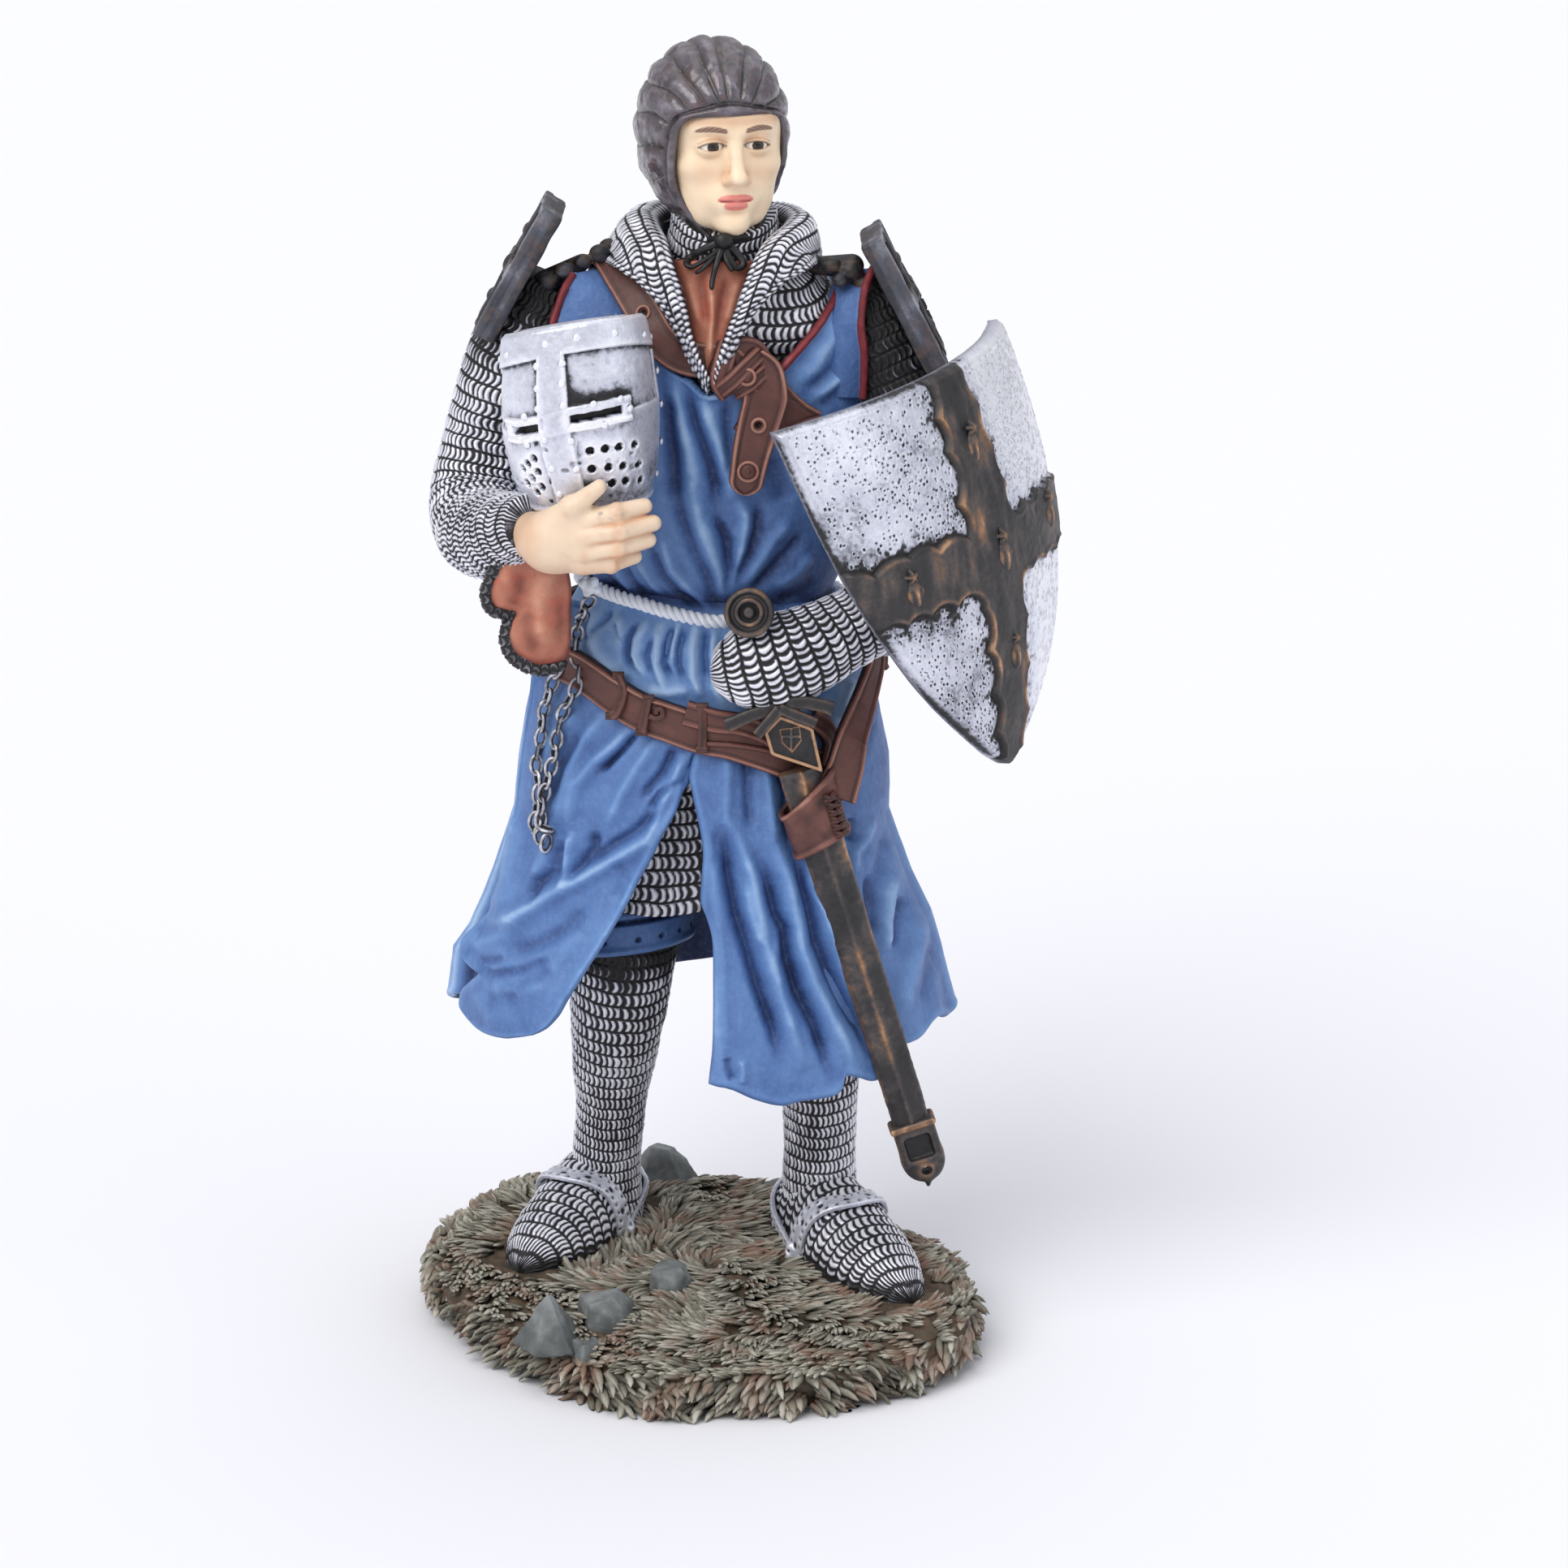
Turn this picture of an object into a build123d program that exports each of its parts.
from build123d import *
import math
import os

os.makedirs("parts", exist_ok=True)

# Painted cast-resin figure of a knight on a round ground base, about 10 inches tall.
# Millimetres. +Z up, the figure faces -Y, origin on the underside of the base.
# The main castings are glued on pegs, and the clothing, armour, belts and arms that
# are painted as separate things are separate closed pieces that seat in one another.

# ---- driving dimensions ----
TOTAL_H = 252.0          # base underside to crown of the cap
BASE_H = 12.0            # ground casting, at the figure's feet
LEG_PIN_R = 1.6          # steel reinforcing rod in each leg
NECK_PEG_R = 3.0
SHIELD_R = 72.5          # horizontal curvature of the shield
SHIELD_H = 75.8
SHIELD_HALF_W = 38.4     # measured across, not round the curve
SHIELD_T = 2.6
SHIELD_DOME = 5.4
HELM_R = 14.2
SCABBARD_W = 8.2
SCABBARD_T = 3.6
BELT_W = 7.2
BELT_T = 1.6
BALDRIC_W = 7.0

BASE_OUTLINE = [(-54.5, 14), (-53, 2), (-49.5, -9), (-43, -19), (-35, -27), (-22, -39),
                (-9, -46.5), (6, -46), (22, -44.5), (36, -39), (45, -32), (51, -24), (53, -12),
                (51.5, 1), (48, 11), (42, 19), (35, 27), (24, 36), (14, 43), (4, 47),
                (-7, 49), (-18, 50), (-29, 50), (-39, 47), (-46, 40), (-51, 30), (-54, 22)]


# ---- helpers ----
def V(p):
    return Vector(*p)


def ell(c, r, rot=(0, 0, 0)):
    """ellipsoid with centre c and half axes r"""
    return Pos(*c) * Rot(*rot) * scale(Sphere(1), by=r)


def seg(a, b, ra, rb=None):
    """round bar from a to b, radius ra to rb"""
    rb = ra if rb is None else rb
    a, b = V(a), V(b)
    d = b - a
    pl = Plane(origin=a, z_dir=d)
    if abs(ra - rb) < 1e-6:
        return pl * Pos(0, 0, d.length / 2) * Cylinder(ra, d.length)
    return pl * Pos(0, 0, d.length / 2) * Cone(ra, rb, d.length)


def limb(pts, rads):
    """round limb: bars and ball joints along pts, one solid"""
    s = Pos(*pts[0]) * Sphere(rads[0])
    for i in range(1, len(pts)):
        s = s + seg(pts[i - 1], pts[i], rads[i - 1], rads[i]) + Pos(*pts[i]) * Sphere(rads[i])
    return s


def tube(secs):
    """loft through level ellipses (x, y, z, rx, ry)"""
    return loft([Plane(origin=(x, y, z)) * Ellipse(rx, ry) for x, y, z, rx, ry in secs])


def shell(secs, t):
    """hollow skirt between a loft and the same loft t thinner"""
    outer = tube(secs)
    inner = tube([(x, y, z + dz, rx - t, ry - t) for (x, y, z, rx, ry), dz in
                  zip(secs, [0.5] + [0] * (len(secs) - 2) + [-0.5])])
    return outer - inner


def strap(pts, w, t, outs, ups=None):
    """flat strap: ruled loft of w by t rectangles along pts, outs = outward normals"""
    secs = []
    n = len(pts)
    for i, p in enumerate(pts):
        a, b = V(pts[max(0, i - 1)]), V(pts[min(n - 1, i + 1)])
        tan = (b - a).normalized()
        o = V(outs[i])
        o = (o - tan * o.dot(tan)).normalized()
        secs.append(Plane(origin=V(p), x_dir=o, z_dir=tan) * Rectangle(t, w))
    return loft(secs, ruled=True)


def prism(poly, y0, y1):
    """polygon in the XZ plane, extruded from y0 to y1"""
    f = make_face(Polyline(*[(x, y0, z) for x, z in poly], close=True))
    return extrude(f, amount=(y1 - y0), dir=(0, 1, 0))


def slab(c, size, x_dir, z_dir):
    return Plane(origin=V(c), x_dir=V(x_dir), z_dir=V(z_dir)) * Box(*size)


P = {}          # name -> shape, in seating order: a later piece is recessed round an earlier one

# ---- hidden steel and pegs ----
R_ANKLE, R_KNEE, R_HIP = (-19.5, 22.5, 24), (-16, 14, 60), (-11.5, 12, 100)
L_ANKLE, L_KNEE, L_HIP = (22.8, 15.5, 22), (22.5, 12, 60), (16, 12, 100)
P["leg_pins"] = Compound([seg((-19.8, 23, 4), (-18.4, 18.6, 44), LEG_PIN_R), seg((22.8, 15.6, 4), (22.8, 13.2, 44), LEG_PIN_R)])
P["neck_peg"] = Pos(4.6, 9, 215) * Cylinder(NECK_PEG_R, 16)

# ---- sword, worn on the left hip ----
SW_TOP, SW_TIP = (16.6, -15.5, 126), (43.4, -7.5, 36)
sd = (V(SW_TIP) - V(SW_TOP)).normalized()
s_out = V((0.10, -1, 0.0))
s_out = (s_out - sd * s_out.dot(sd)).normalized()
s_side = sd.cross(s_out)


def on_sword(d, o=0.0, s=0.0):
    return V(SW_TOP) + sd * d + s_out * o + s_side * s


def sword_box(d0, d1, w, t, o=0.0, s=0.0):
    c = on_sword((d0 + d1) / 2, o, s)
    return Plane(origin=c, x_dir=s_side, z_dir=sd) * Box(w, t, d1 - d0)


P["sword_pommel"] = Plane(origin=(9.8, -20.2, 149.2), z_dir=(-0.05, -1, 0.28)) * (
    Cylinder(5.1, 2.6) + Pos(0, 0, 1.6) * Cylinder(3.6, 0.8) - Pos(0, 0, 2.1) * Cylinder(2.2, 1.6))
P["sword_grip"] = seg((10.6, -17.0, 146.5), (15.9, -15.6, 130.6), 1.9)
P["crossguard"] = (strap([(15.6, -17.4, 131.0), (11.5, -17.6, 130.0), (6.0, -17.6, 126.9)], 2.7, 2.8, [(0, -1, 0)] * 3)
                   + strap([(15.6, -17.4, 131.0), (20, -17.2, 130.9), (24.8, -16.8, 130.2)], 2.7, 2.8, [(0, -1, 0)] * 3))
P["scabbard_locket"] = Plane(origin=on_sword(2.6, 0.4), x_dir=s_side, z_dir=s_out) * extrude(
    make_face(Polyline((-5.2, 1.4, 0), (0, 5.6, 0), (5.2, 1.4, 0), (4.9, -7.2, 0), (-4.9, -7.2, 0), close=True)), amount=2.6, both=True)
P["scabbard_frog"] = sword_box(12.4, 22.8, SCABBARD_W + 3.4, SCABBARD_T + 3.0) - sword_box(11, 24, SCABBARD_W, SCABBARD_T)
P["scabbard"] = sword_box(10.0, 85.0, SCABBARD_W, SCABBARD_T)
chape = sword_box(85.0, 91.0, SCABBARD_W + 1.2, SCABBARD_T + 1.2) + Plane(origin=on_sword(91.0), x_dir=s_side, z_dir=s_out) * Cylinder((SCABBARD_W + 1.2) / 2, SCABBARD_T + 1.2)
chape = chape - Plane(origin=on_sword(91.8, 3.0), z_dir=s_out) * Cylinder(1.4, 3.2)
P["scabbard_chape"] = chape

# ---- shield, on the left forearm ----
SH = Plane(origin=(55.84, -17.43, 157.3), x_dir=(0.563, 0.818, 0.118), z_dir=(-0.181, -0.017, 0.983))


def shield_band(r0, r1):
    """barrel shell between r0 and r1 inside the shield's outer face, local frame, outward is -Y"""
    h = SHIELD_H / 2 + 4
    dm = SHIELD_DOME * (h / (SHIELD_H / 2)) ** 2

    def ring(off):
        return ThreePointArc((SHIELD_R - off - dm, 0, -h), (SHIELD_R - off, 0, 0), (SHIELD_R - off - dm, 0, h))
    a, b = ring(r0), ring(r1)
    f = make_face([a, Line(a @ 1, b @ 1), b, Line(b @ 0, a @ 0)])
    body = revolve(f, Axis.Z, 100)
    return Pos(0, SHIELD_R, 0) * Rot(0, 0, -90 - 50) * body


def heater(k=1.0):
    hw, hh = SHIELD_HALF_W * k, SHIELD_H / 2 * k
    right = Spline((hw, hh), (hw * 0.955, hh * 0.40), (hw * 0.66, -hh * 0.30), (hw * 0.30, -hh * 0.76), (0, -hh))
    left = Spline((0, -hh), (-hw * 0.30, -hh * 0.76), (-hw * 0.66, -hh * 0.30), (-hw * 0.955, hh * 0.40), (-hw, hh))
    top = Line((-hw, hh), (hw, hh))
    f = make_face([right, left, top])
    return Plane(origin=(0, 30, 0), x_dir=(1, 0, 0), z_dir=(0, -1, 0)) * extrude(f, amount=60)


board = shield_band(0, SHIELD_T) & heater()
P["shield_peg"] = SH * Pos(-6, 6.2, -4) * Rot(90, 0, 0) * Cylinder(2.4, 9)
cross_zone = Pos(0, 0, 0) * Box(8.6, 80, 90) + Pos(0, 0, 3.7) * Box(90, 80, 9.0)
P["shield_cross"] = SH * (shield_band(-0.7, 0) & heater(0.985) & cross_zone)
P["shield_board"] = SH * board
studs = []
for lx, lz in [(0, 25), (0, 3.7), (0, -17), (-22, 3.7), (22, 3.7)]:
    ang = math.asin(lx / SHIELD_R)
    yy = SHIELD_R * (1 - math.cos(ang)) + SHIELD_DOME * (2 * lz / SHIELD_H) ** 2
    studs.append(SH * Pos(lx, yy - 1.3, lz) * Rot(0, 0, math.degrees(ang)) * Box(2.8, 1.1, 4.6))
P["shield_studs"] = Compound([s.solids()[0] for s in studs])

# ---- great helm, under the right arm; its flat crown slopes down towards the back ----
HELM = Plane(origin=(-20.2, -18.5, 171.0), z_dir=(-0.062, -0.03, 1), x_dir=(1, 0, 0.062))
CROWN = HELM * Pos(0, -13.6, 33.4) * Rot(-15, 0, 0)
BAND_FOOT = HELM * Pos(0, -13.6, 26.6) * Rot(-15, 0, 0)
above_crown = CROWN * Pos(0, 20, 15) * Box(60, 80, 30)
helm = HELM * tube([(0, 0.6, 0, 11.4, 11.0), (0, 0.2, 8, 13.4, 12.8), (0, 0, 16, HELM_R, 13.8), (0, 0, 26, 13.8, 13.4), (0, 0.4, 33.4, 12.9, 12.8)])
helm = helm - HELM * Pos(0, 0.6, 2.5) * Cylinder(8.6, 9) - above_crown
band = (HELM * tube([(0, 0, 16, 15.1, 14.7), (0, 0, 26, 14.7, 14.3), (0, 0.4, 33.4, 13.6, 13.5)])) - (HELM * tube([(0, 0, 15, 14.2, 13.8), (0, 0, 26, 13.8, 13.4), (0, 0.4, 34, 12.85, 12.75)]))
P["helm_brow_band"] = band - above_crown - BAND_FOOT * Pos(0, 20, -20) * Box(60, 80, 40)
hx = Rot(0, 0, -24)
bars = (HELM * hx * Pos(0, -14, 13.4) * Box(4.4, 6, 26)) + (HELM * hx * Pos(0, -12, 15.6) * Box(24, 14, 4.6))
P["helm_cross"] = (HELM * tube([(0, 0.6, 0.4, 12.2, 11.8), (0, 0.2, 8, 14.2, 13.6), (0, 0, 16, HELM_R + 0.8, 14.6), (0, 0, 26.4, 14.6, 14.2)])
                   - HELM * tube([(0, 0.6, 0, 11.4, 11.0), (0, 0.2, 8, 13.4, 12.8), (0, 0, 16, HELM_R, 13.8), (0, 0, 26, 13.8, 13.4), (0, 0.4, 33.4, 12.9, 12.8)])) & bars
P["helm_cross"] = P["helm_cross"] & (BAND_FOOT * Pos(0, 20, -20) * Box(60, 80, 40))
P["great_helm"] = helm
riv = []


def rivet(deg, h, rx, ry, dy=0.0):
    """flat-headed rivet standing on the helm's outside at angle deg from the cross and height h"""
    r = math.radians(deg - 24)
    o = (HELM * Pos(rx * math.sin(r), dy - ry * math.cos(r), h)).position
    c = (HELM * Pos(0, dy, h)).position
    return (Plane(origin=o, z_dir=(o - c)) * Pos(0, 0, 0.27) * Cylinder(0.6, 0.5)).solids()[0]


for a in range(-80, 60, 22):
    drop = 0.268 * (13.6 - 14.0 * math.cos(math.radians(a - 24)))
    h = 29.4 - drop
    r_out = 14.73 - 0.149 * (h - 26)
    riv.append(rivet(a, h, r_out, r_out - 0.34, 0.05 * (h - 26)))
for h, rr in ((3.5, 13.35), (9.5, 14.62), (20.5, 15.2)):
    riv.append(rivet(0, h, rr, rr - 0.4))
P["helm_rivets"] = Compound(riv)

# ---- right hand, under the helm ----
hand = ell((-21, -31.5, 166.6), (9.0, 4.0, 6.4), (0, -8, 0))
for k, (z0, z1, x1) in enumerate([(170.2, 171.3, -7.6), (167.4, 168.6, -6.2), (164.8, 165.6, -7.0), (162.4, 162.7, -9.6)]):
    hand = hand + seg((-19, -32.4, z0), (x1, -32.0 + 0.6 * k, z1), 1.75, 1.55) + Pos(x1, -32.0 + 0.6 * k, z1) * Sphere(1.55)
hand = hand + seg((-25, -32.6, 170.5), (-16.6, -34.2, 177.0), 2.1, 1.7) + Pos(-16.6, -34.2, 177.0) * Sphere(1.7)
hand = hand + seg((-33, -22.5, 166), (-25, -30, 166.5), 3.6, 4.2)
P["right_hand"] = hand

# ---- head ----
P["head"] = ell((4.2, 7.5, 233.2), (10.6, 13.0, 15.6), (0, 0, 12)) + seg((4.6, 9, 208.4), (4.6, 8.4, 224), 7.0, 6.6)
cap = ell((2.6, 10.2, 235.2), (14.6, 15.4, 16.8), (0, 0, 12))
face_cut = Plane(origin=(4.5, 2.5, 232), z_dir=(0.2, -0.975, -0.06), x_dir=(1, 0.2, 0)) * Pos(0, -1.6, 10) * scale(Cylinder(1, 24), by=(9.8, 15.2, 1))
P["arming_cap"] = (cap - face_cut) & (Pos(0, 0, 236.6) * Box(120, 120, 36))
knot = (6.0, -5.4, 214.4)
P["cap_tie"] = (Pos(*knot) * Sphere(1.5) + ell((2.6, -5.2, 213.2), (3.0, 1.0, 1.5), (0, 20, 0)) + ell((8.6, -5.2, 212.8), (2.4, 1.0, 1.9), (0, -30, 0))
                + seg(knot, (4.6, -6.2, 206.2), 0.8, 0.6) + seg(knot, (1.2, -5.6, 210.4), 0.8, 0.6))

# ---- chest layers ----
P["undershirt"] = prism([(-5.2, 212.5), (11.2, 211.5), (2.2, 191.0)], -7.6, 1.0)
ring_c = tube([(1.8, 9.5, 203.5, 21.5, 15.6), (3.2, 9.5, 210.5, 17.2, 13.6), (4.6, 9.8, 218.6, 11.6, 10.6)])
ring_i = tube([(3.4, 9.5, 203.0, 15.6, 11.4), (4.2, 9.5, 210.5, 13.2, 10.8), (4.8, 9.8, 219.0, 9.9, 9.3)])
vcut = prism([(-5.2, 222), (-5.2, 212.5), (2.2, 191.0), (11.2, 211.5), (11.2, 222)], -14, 8)
lap_r = strap([(-9.5, -1.5, 210.5), (-4.6, -6.6, 201.5), (1.6, -8.4, 190.4)], 5.4, 2.2, [(-0.5, -1, 0.3)] * 3)
lap_l = strap([(15.4, -1.5, 209.5), (9.0, -6.6, 201.0), (1.9, -8.4, 190.4)], 5.4, 2.2, [(0.5, -1, 0.3)] * 3)
P["mail_collar"] = (ring_c - ring_i - vcut) + lap_r + lap_l
P["neck_mail"] = tube([(4.6, 8.6, 208.5, 10.2, 9.8), (4.8, 8.4, 218.2, 9.6, 9.4)])

# ---- straps, belt, cord and chain ----
P["baldric_buckle"] = Plane(origin=(8.2, -11.4, 193.6), z_dir=(0, -1, 0.2), x_dir=(0.8, 0, 0.6)) * (Box(9.5, 3.4, 1.6))
P["baldric_tongue"] = strap([(7.8, -12.4, 191.2), (10.4, -12.2, 185.4), (9.4, -12.2, 178.2), (8.4, -12.0, 170.4)], 7.0, 1.7, [(0, -1, 0.1)] * 4)
P["baldric"] = (strap([(-17.4, 8.4, 211.6), (-14.0, 0.4, 208.0), (-8.8, -5.8, 201.0), (-3.6, -8.9, 194.2), (6.6, -9.8, 191.2)], BALDRIC_W, 1.7,
                      [(-0.55, -0.2, 0.8), (-0.3, -0.8, 0.6), (-0.2, -1, 0.3), (0, -1, 0.2), (0, -1, 0.1)]))
P["baldric_end"] = strap([(8.6, -9.6, 191.6), (15.0, -9.8, 187.6), (22.5, -9.4, 183.4), (31.0, -8.6, 179.0)], BALDRIC_W, 1.7, [(0, -1, 0.1)] * 4)
belt_a = [(34.6, 15, 134.5), (30.0, 26.0, 136.5), (20, 33.2, 138.0), (4, 36.6, 139.5), (-12, 34.6, 141), (-24.5, 28.0, 141.5), (-31.2, 18.5, 140.8), (-32.2, 10, 139.4), (-29.0, 1.4, 137.4), (-22.6, -5.2, 134.6), (-13.5, -9.6, 130.8), (-2.5, -12.2, 126.4), (8, -13.0, 121.6), (17, -13.4, 117.0), (21.6, -13.6, 114.6)]
cen = (1.5, 12.5)
outs = [(p[0] - cen[0], (p[1] - cen[1]) * 1.6, 4) for p in belt_a]
P["belt_bars"] = Compound([strap([(x - 1.6, y - 1.3, z - 5.2), (x + 1.6, y - 1.3, z + 5.2)], 2.0, 1.2, [(x * 0.02, -1, 0.1)] * 2).solids()[0]
                           for x, y, z in [(-18.0, -8.6, 132.6), (-11.4, -11.2, 129.8), (-3.4, -13.0, 126.8)]])
P["sword_belt"] = strap(belt_a, BELT_W, BELT_T, outs)
P["belt_hanger"] = strap([(34.9, 10.5, 134.6), (34.2, 4.0, 129.0), (32.0, -3.4, 121.6), (29.0, -9.0, 113.6)], 6.0, 1.6, [(1, -0.2, 0.2), (1, -0.6, 0.2), (0.8, -1, 0.2), (0.6, -1, 0.1)])
cord = [(1.5 + 25.2 * math.sin(a), 11.5 - 19.6 * math.cos(a), 147.6 - 1.3 * math.sin(a)) for a in [math.radians(k * 15) for k in range(25)]]
half1 = loft([Plane(origin=V(cord[i]), z_dir=V(cord[min(i + 1, 24)]) - V(cord[max(i - 1, 0)]) if 0 < i < 24 else V((1, 0, 0))) * Circle(1.25) for i in range(0, 13)])
half2 = loft([Plane(origin=V(cord[i]), z_dir=V(cord[min(i + 1, 24)]) - V(cord[max(i - 1, 0)]) if 0 < i < 24 else V((1, 0, 0))) * Circle(1.25) for i in range(12, 25)])
P["waist_cord"] = Compound([half1.solids()[0], half2.solids()[0]])

# ---- arms ----
P["right_mitten_flap"] = slab((-29.4, -17.2, 151.8), (11.6, 3.6, 25.0), (0.95, -0.2, -0.12), (-0.16, -0.1, 1))
P["right_mitten_edge"] = strap([(-36.0, -14.8, 161), (-36.2, -14.8, 150), (-34.6, -15.4, 140.4), (-29, -16.4, 138.2), (-24.6, -17.4, 138.6)], 3.6, 1.8, [(-1, 0, 0), (-1, 0, 0), (-0.7, 0, -0.7), (0, 0, -1), (0, 0, -1)])
P["right_sleeve"] = limb([(-28.6, 11, 200), (-38.4, 10, 181), (-41.4, 7.4, 164.6), (-34.4, -17.2, 165.4)], [9.6, 8.8, 9.2, 6.4])
P["left_mitten"] = limb([(9.6, -14.6, 138.4), (20.0, -12.6, 141.4), (31.0, -7.0, 145.6)], [7.6, 8.0, 7.2])
P["left_sleeve"] = limb([(32.6, 11, 200), (41.6, 9.5, 178), (44.6, 6.2, 158), (35.5, -5.4, 147.4)], [10.0, 9.0, 8.6, 7.0])
P["right_ailette"] = slab((-33.3, 9.0, 209.0), (3.6, 20, 27.4), (-0.87, 0, -0.49), (0.49, 0, 0.87)) + slab((-34.7, 9.0, 208.2), (2.2, 15, 7), (-0.87, 0, -0.49), (0.49, 0, 0.87))
P["left_ailette"] = slab((38.2, 8.0, 203.6), (3.6, 20, 27.4), (0.89, 0, -0.46), (-0.46, 0, -0.89)) + slab((39.6, 8.0, 202.9), (2.2, 15, 7), (0.89, 0, -0.46), (-0.46, 0, -0.89))
P["shoulder_points"] = Compound([ell((-23.0, 6.0, 208.8), (4.6, 3.6, 2.6), (0, -20, 0)).solids()[0], ell((26.6, 5.6, 209.6), (4.6, 3.6, 2.8), (0, 20, 0)).solids()[0]])

# ---- torso ----
TOR = [(2.0, 11.5, 146, 24.2, 17.6), (2.0, 11.5, 156, 26.4, 18.2), (1.6, 11.2, 172, 29.6, 18.8), (1.6, 11.0, 188, 30.6, 18.2), (1.8, 10.8, 200, 27.6, 15.6), (2.2, 10.4, 208, 19.6, 11.6)]
outer = tube(TOR)
inner = tube([(x, y, z, rx - 2, ry - 2) for x, y, z, rx, ry in TOR])
neck_v = prism([(-8, 216), (2.0, 188.4), (30, 214)], -14, 6)
arm_r = ell((-31, 10, 199), (9.5, 12, 15))
arm_l = ell((35, 10, 199), (9.5, 12, 15))
P["surcoat_trim"] = (limb([(27.6, 2.0, 207.0), (23.2, -3.2, 201.8), (18.6, -6.6, 196.4), (14.2, -8.4, 191.6)], [0.9] * 4)
                     )
P["surcoat_trim"] = Compound([P["surcoat_trim"].solids()[0],
                              limb([(30.9, 2.6, 205.4), (31.6, -2.0, 196.6), (31.2, -3.6, 187.6)], [0.9] * 3).solids()[0],
                              limb([(-25.4, 1.6, 207.0), (-27.6, -2.0, 200.4)], [0.9] * 2).solids()[0]])
P["surcoat_bodice"] = (outer - inner - neck_v - arm_r - arm_l) & (Pos(0, 0, 176) * Box(140, 140, 58))
P["hauberk_torso"] = inner & (Pos(0, 0, 178) * Box(140, 140, 62))

# ---- legs and feet ----
P["right_spur_strap"] = (ell((-24.6, 15.6, 15), (12.2, 22.0, 14.6), (0, 0, -28)) & slab((-22.4, 19.4, 17), (40, 5.4, 60), (0.88, -0.47, 0), (0.25, 0.45, 1))) & (Pos(0, 0, 27) * Box(200, 200, 28))
P["left_spur_strap"] = (ell((27.4, 4.4, 14), (12.0, 22.0, 14.6), (0, 0, 30)) & slab((25.4, 8.4, 16), (40, 5.4, 60), (0.86, 0.5, 0), (-0.25, 0.45, 1))) & (Pos(0, 0, 27) * Box(200, 200, 28))
ground = Pos(0, 0, BASE_H + 30) * Box(200, 200, 60)
P["right_foot"] = (ell((-25.2, 15.0, BASE_H), (9.6, 20.4, 12.6), (0, 0, -28)) + tube([(-20.4, 24.6, BASE_H, 8.2, 9.2), (-19.6, 23.0, 27, 7.4, 8.0)])) & ground
P["left_foot"] = (ell((28.6, 3.0, BASE_H), (9.6, 21.4, 12.4), (0, 0, 30)) + tube([(23.4, 15.6, BASE_H, 8.2, 9.2), (23.0, 15.4, 26, 7.4, 8.0)])) & ground
P["right_leg"] = tube([(-19.4, 22.6, 27, 6.9, 7.6), (-18.4, 20.4, 38, 6.9, 7.8), (-17.6, 17.6, 50, 8.6, 9.4), (-16.2, 14.4, 63, 9.8, 10.2), (-14.6, 12.8, 78, 10.6, 11.2), (-12.6, 12.4, 92, 11.4, 12.2)])
P["left_leg"] = tube([(23.0, 15.4, 26, 6.9, 7.6), (23.0, 14.4, 38, 7.0, 7.8), (22.8, 13.0, 50, 8.4, 9.2), (22.2, 12.4, 63, 9.4, 10.0), (19.6, 12.4, 78, 10.6, 11.2), (16.4, 12.4, 92, 11.4, 12.2)])
P["right_cuisse"] = tube([(-15.0, 13.0, 73.6, 12.6, 13.2), (-14.2, 12.6, 86.5, 13.4, 14.0)])

# ---- skirts ----
P["hauberk_skirt"] = tube([(0.5, 12.4, 84.5, 27.4, 19.0), (1.0, 12.4, 100, 26.6, 18.6), (1.5, 12.2, 127, 25.4, 17.6)])
SK = [(1.0, 14.6, 52.0, 48.2, 30.0), (0.6, 14.0, 70, 45.2, 28.6), (0.8, 13.4, 88, 41.4, 27.0), (1.0, 13.0, 108, 37.4, 25.2), (1.4, 12.6, 128, 32.6, 22.6)]
sk = shell(SK, 2.4)
# the front right panel is blown open: its edge runs from the split at the belt down to the far hem
right_zone = prism([(-1.6, 128), (-1.6, 112), (-13.4, 90), (-19, 79), (-30, 63.5), (-46, 66), (-52, 84), (-52, 128)], -60, 13)
left_zone = prism([(1.0, 128), (1.0, 94), (2.4, 53), (36, 53), (38, 70), (39.5, 128)], -60, 13)
back_zone = prism([(-52, 128), (-52, 62), (54, 59), (54, 128)], 13.0, 60)
P["skirt_front_right"] = sk & right_zone
P["skirt_front_left"] = sk & left_zone
P["skirt_back"] = (sk & back_zone) + (sk & prism([(39.6, 128), (38.2, 70), (36.4, 58), (54, 59), (54, 128)], -60, 13))
P["surcoat_blouse"] = tube([(1.4, 12.6, 128, 32.2, 22.2), (1.6, 12.4, 134, 31.4, 22.4), (1.8, 12.0, 141, 27.6, 20.4), (2.0, 11.6, 146, 24.4, 18.0)])

# ---- hip chain, cast in low relief ----
links = []
for k in range(7):
    t = k / 6
    links.append((-25.4 - 3.2 * t, -9.8 - 0.9 * t, 131.5 - 30.0 * t, k))
for k in range(6):
    t = k / 5
    links.append((-21.6 - 5.8 * t, -11.6 + 0.4 * t, 131.0 - 24.4 * t, k + 1))
solids = []
for x, y, z, k in links:
    rr = 90 if k % 2 else 20
    solids.append((Pos(x, y, z) * Rot(0, 6, rr) * Rot(90, 0, 0) * scale(Torus(1.45, 0.42), by=(1, 1.45, 1))).solids()[0])
P["hip_chain"] = Compound(solids)

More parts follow.
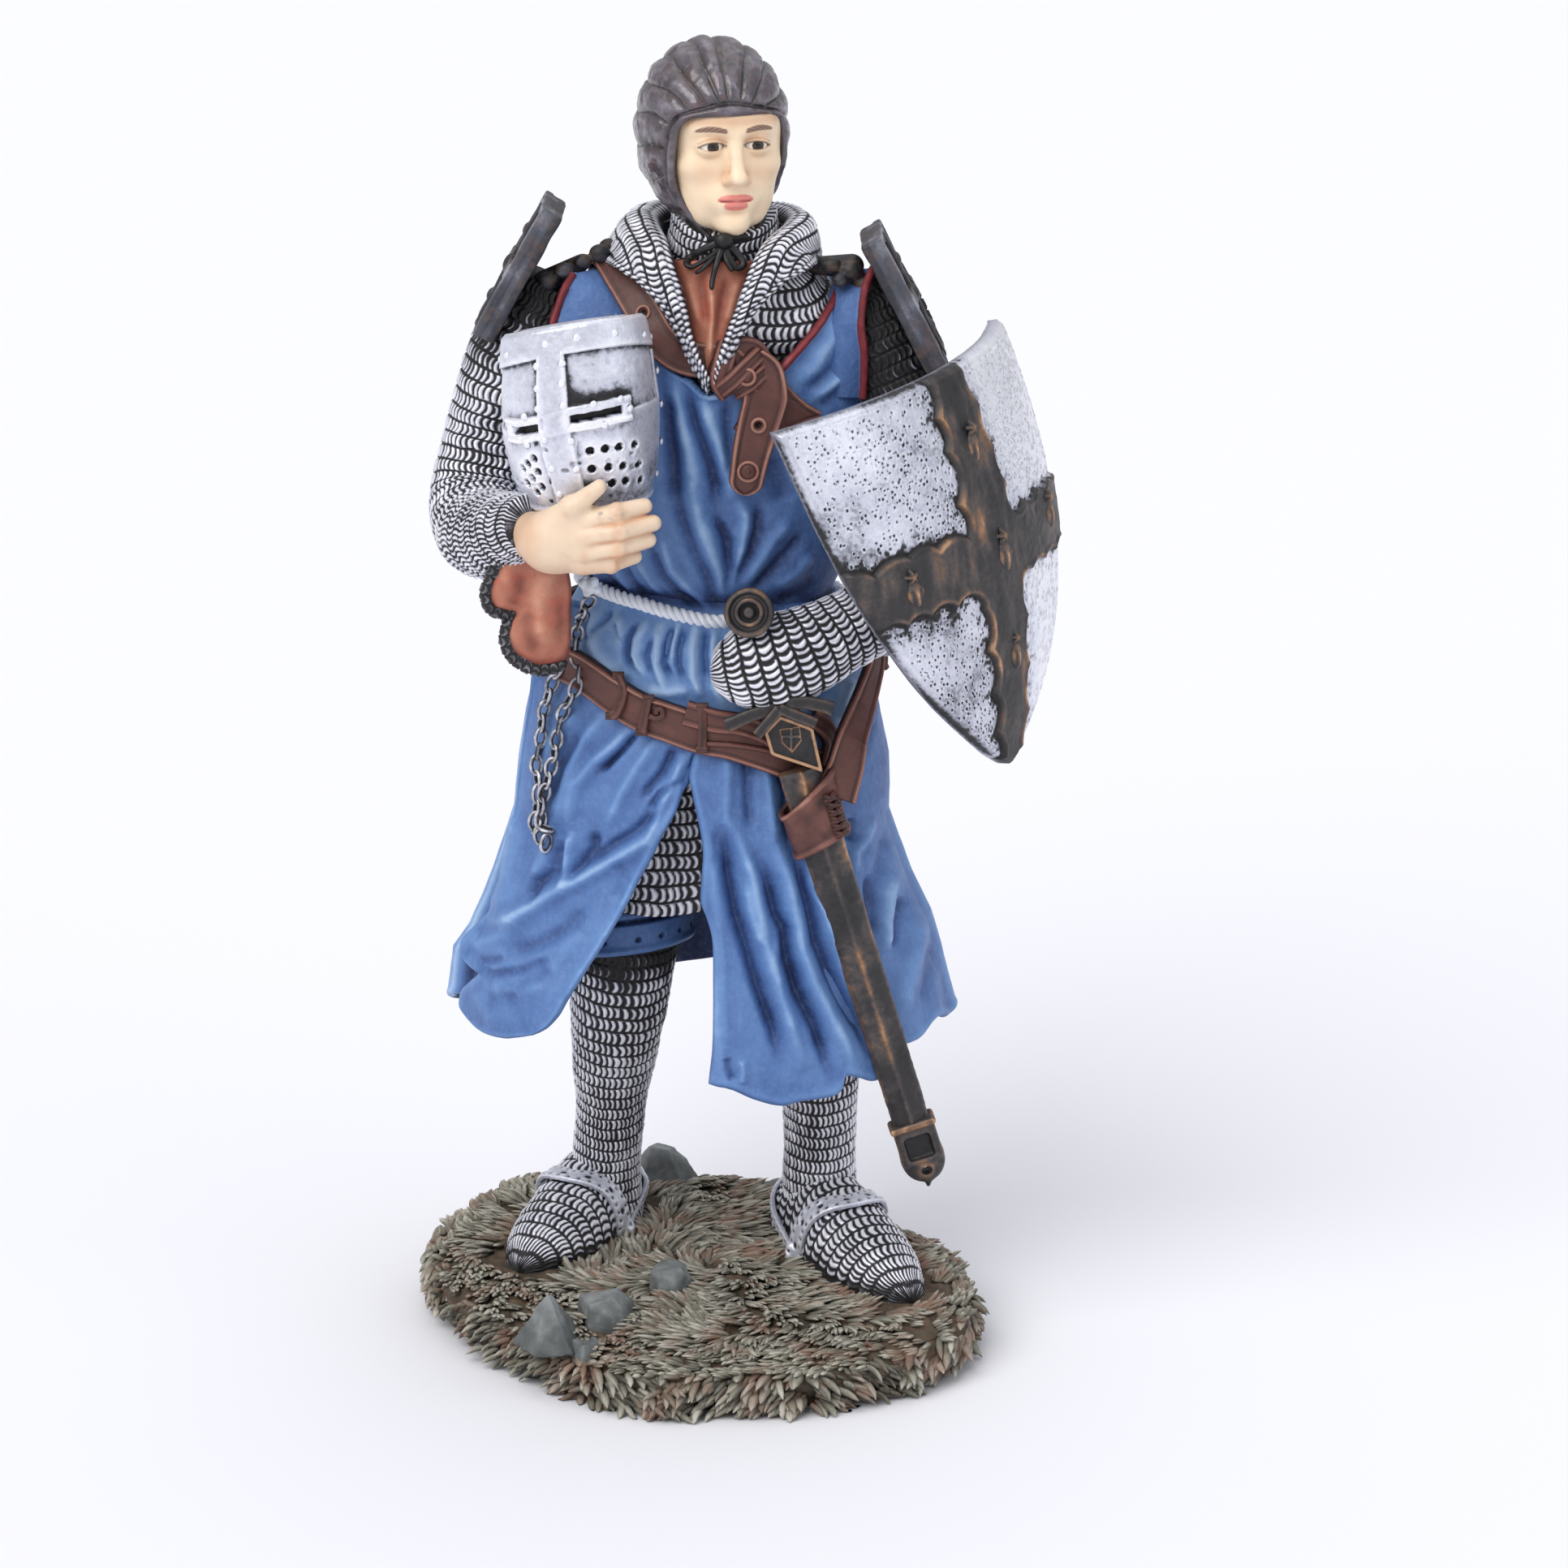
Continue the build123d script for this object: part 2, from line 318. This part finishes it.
# ---- base ----
rocks = []
for (x, y, z, a, b, c, rot) in [(-28.0, -33.2, 9.4, 10.6, 10.0, 11.0, (12, 20, 30)), (-18.6, -27.0, 11.4, 12.4, 9.0, 9.0, (-8, 14, 12)),
                                (-5.8, -11.6, 13.4, 9.6, 9.0, 8.4, (30, 25, 10)), (-9.0, 44.0, 14.0, 12.0, 8.0, 9.6, (10, 30, 50)), (16.0, 37.0, 12.0, 9.0, 6.4, 6.4, (10, 0, 20))]:
    r = Pos(x, y, z) * Rot(*rot) * (Box(a, b, c) & Rot(35, 20, 45) * Box(a * 1.12, b * 1.12, c * 1.12))
    rocks.append(r.solids()[0])
P["base_rocks"] = Compound(rocks)
outline = make_face(Polyline(*[(x, y, 0) for x, y in BASE_OUTLINE], close=True))
P["base_ground"] = extrude(outline, amount=BASE_H, taper=14)

# ---- seat each piece in the ones before it ----
names = list(P)
done = []


def boxes_meet(a, b, tol=0.0):
    A, B = a.bounding_box(), b.bounding_box()
    return all(tuple(A.min)[i] < tuple(B.max)[i] - tol and tuple(B.min)[i] < tuple(A.max)[i] - tol for i in range(3))


final = {}
for n in names:
    least = 0.6      # smallest fragment kept, mm3
    if n == "helm_rivets":      # they stand clear on the surface
        final[n] = list(P[n].solids())
        done.append(n)
        continue
    out = []
    for s in P[n].solids():
        cur = [s]
        for m in done:
            for tool in final[m]:
                nxt = []
                for c in cur:
                    if boxes_meet(c, tool):
                        try:
                            got = c - tool
                            pieces = [q for q in got.solids() if q.volume > least]
                            if pieces and all(q.is_valid for q in pieces):
                                nxt += pieces
                            elif not pieces:
                                nxt += []
                            else:
                                nxt.append(c)
                        except Exception:
                            nxt.append(c)
                    else:
                        nxt.append(c)
                cur = nxt
        out += cur
    # keep the main solids, drop slivers left by seating
    big = max(q.volume for q in out)
    out = [q for q in out if q.volume > (0.02 * big if n not in ("helm_rivets", "hip_chain", "shield_studs", "belt_bars", "base_rocks", "surcoat_trim", "leg_pins") else 0.05 * big)]
    final[n] = out
    done.append(n)
for n in names:
    shp = final[n][0] if len(final[n]) == 1 else Compound(final[n])
    export_step(shp, f"parts/{n}.step")
lo = [min(min(tuple(q.bounding_box().min)[i] for q in final[n]) for n in names) for i in range(3)]
hi = [max(max(tuple(q.bounding_box().max)[i] for q in final[n]) for n in names) for i in range(3)]
print("box", [round(v, 1) for v in lo], [round(v, 1) for v in hi], "nodes", len(names))
